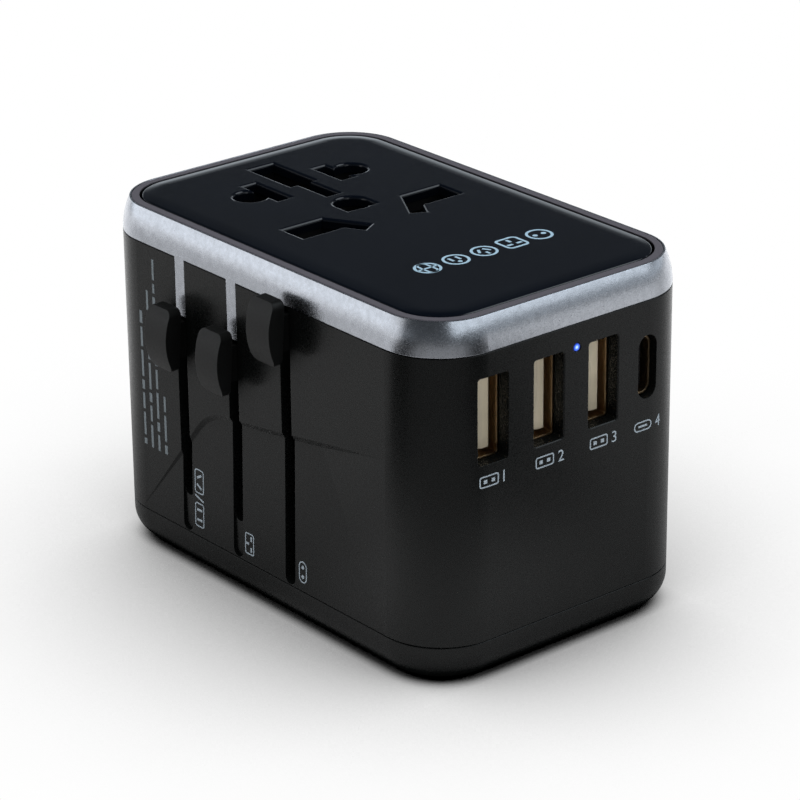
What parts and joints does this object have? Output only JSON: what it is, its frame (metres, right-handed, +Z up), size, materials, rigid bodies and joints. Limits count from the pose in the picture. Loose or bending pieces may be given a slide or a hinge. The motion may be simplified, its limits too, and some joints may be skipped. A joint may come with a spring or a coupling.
{
  "type": "universal travel adapter",
  "caption": "Block-shaped travel adapter with a universal socket on top, side sliders that push out plug pins below, and USB ports on one end.",
  "frame": {"origin": "centre of the flat base of the body", "axes": "+Z up out of the socket, -Y out of the USB ports, -X out of the slider knobs"},
  "size_m": [0.0548, 0.0772, 0.0545],
  "materials": {
    "casing_black": "satin soft-touch",
    "knob_grey": "fine texture",
    "band_silver": "satin metallic paint",
    "lip_grey": "satin",
    "panel_black": "semi-gloss",
    "inner_black": "moulded",
    "inner_white": "moulded",
    "tongue_beige": "moulded",
    "brass": "bare",
    "nickel": "nickel plated",
    "shell_gold": "plated, dark",
    "steel": "bright",
    "board_green": "solder mask",
    "ferrite": "sintered",
    "tape_yellow": "film tape",
    "can_aluminium": "sleeved can",
    "fuse_glass": "ceramic",
    "lamp_clear": "clear, lit blue"
  },
  "bodies": {
    "housing": {"main_casing": "casing_black", "base_cover": "casing_black", "rim_bezel": "band_silver", "top_deck": "lip_grey", "top_panel": "panel_black", "contact_carrier": "inner_black", "line_contact": "brass", "neutral_contact": "brass", "earth_contact": "brass", "shutter_springs": "steel", "line_bus_bar": "brass", "neutral_bus_bar": "brass", "feed_straps": "brass", "guide_rods": "steel", "insulating_barrier": "inner_white", "charger_board": "board_green", "usb_a_shell_1": "shell_gold", "usb_a_shell_2": "shell_gold", "usb_a_shell_3": "shell_gold", "usb_a_tongue_1": "tongue_beige", "usb_a_tongue_2": "tongue_beige", "usb_a_tongue_3": "tongue_beige", "usb_contacts": "brass", "usb_c_shell": "shell_gold", "usb_c_tongue": "inner_black", "lamp_pipe": "lamp_clear", "status_lamp": "lamp_clear", "transformer_core": "ferrite", "transformer_winding": "tape_yellow", "filter_capacitors": "can_aluminium", "choke": "ferrite", "fuse": "fuse_glass", "fuse_clips": "brass", "case_screws": "steel", "carrier_screws": "steel"},
    "shutter": {"safety_shutter": "inner_black"},
    "usa_aus_plug": {"usa_aus_carriage": "inner_black", "blade_retainer": "inner_black", "usa_aus_knob_spring": "steel"},
    "usa_aus_button": {"usa_aus_knob": "knob_grey"},
    "left_prong": {"left_blade": "nickel"},
    "right_prong": {"right_blade": "nickel"},
    "uk_plug": {"uk_carriage": "inner_black", "uk_power_pins": "nickel", "uk_earth_pin": "nickel", "uk_pin_sleeves": "inner_black", "uk_knob_spring": "steel"},
    "uk_button": {"uk_knob": "knob_grey"},
    "eu_plug": {"eu_carriage": "inner_black", "eu_block": "casing_black", "eu_pins": "nickel", "eu_pin_sleeves": "inner_black", "eu_knob_spring": "steel"},
    "eu_button": {"eu_knob": "knob_grey"}
  },
  "joints": [
    {"name": "usa_aus_slide", "type": "slide", "parent": "housing", "child": "usa_aus_plug", "axis": [0, 0, -1], "range_m": [0, 0.02215]},
    {"name": "uk_slide", "type": "slide", "parent": "housing", "child": "uk_plug", "axis": [0, 0, -1], "range_m": [0, 0.02215]},
    {"name": "eu_slide", "type": "slide", "parent": "housing", "child": "eu_plug", "axis": [0, 0, -1], "range_m": [0, 0.03615]},
    {"name": "left_prong_turn", "type": "hinge", "parent": "usa_aus_plug", "child": "left_prong", "pos_m": [-0.00635, 0.0179, 0.0282], "axis": [0, 0, 1], "range_deg": [0, 30]},
    {"name": "right_prong_turn", "type": "hinge", "parent": "usa_aus_plug", "child": "right_prong", "pos_m": [0.00635, 0.0179, 0.0282], "axis": [0, 0, 1], "range_deg": [-30, 0]},
    {"name": "usa_aus_press", "type": "slide", "parent": "usa_aus_plug", "child": "usa_aus_button", "axis": [1, 0, 0], "range_m": [0, 0.001], "stiffness_N_per_m": 400, "springref_m": -0.0005},
    {"name": "uk_press", "type": "slide", "parent": "uk_plug", "child": "uk_button", "axis": [1, 0, 0], "range_m": [0, 0.001], "stiffness_N_per_m": 400, "springref_m": -0.0005},
    {"name": "eu_press", "type": "slide", "parent": "eu_plug", "child": "eu_button", "axis": [1, 0, 0], "range_m": [0, 0.001], "stiffness_N_per_m": 400, "springref_m": -0.0005},
    {"name": "shutter_slide", "type": "slide", "parent": "housing", "child": "shutter", "axis": [0, -1, 0], "range_m": [0, 0.0094], "stiffness_N_per_m": 40, "springref_m": -0.002}
  ]
}
